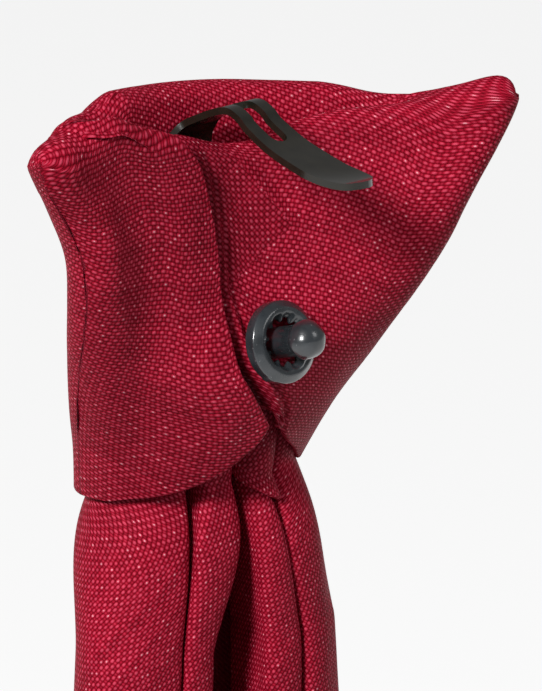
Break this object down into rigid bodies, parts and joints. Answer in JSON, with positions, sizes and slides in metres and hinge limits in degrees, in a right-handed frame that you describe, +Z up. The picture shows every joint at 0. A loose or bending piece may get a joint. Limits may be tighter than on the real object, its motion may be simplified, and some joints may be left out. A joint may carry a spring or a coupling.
{
  "type": "clip-on necktie",
  "caption": "Pre-tied woven necktie that hangs from a metal clip hook behind its knot, with a riveted lap, deep pleats at the back and a pointed blade.",
  "frame": {"origin": "underside of the clip hook's crest, where a closed collar and its top button sit in the hook", "axes": "+Z up as worn, +Y towards the wearer, -Y the tie's front, +X the lapped side of the knot"},
  "size_m": [0.086, 0.0406, 0.5206],
  "materials": {
    "crimson_weave": "plain bias weave with a soft sheen and pale glints on the floats",
    "dark_clip_metal": "satin olive black with glossy rounded edges",
    "black_plastic": "satin moulded plastic, lightly scuffed"
  },
  "bodies": {
    "root": {"knot_wrap": "crimson_weave", "blade": "crimson_weave", "inner_end": "crimson_weave", "clip_hook": "dark_clip_metal", "washer": "black_plastic", "pin": "black_plastic"}
  },
  "joints": []
}
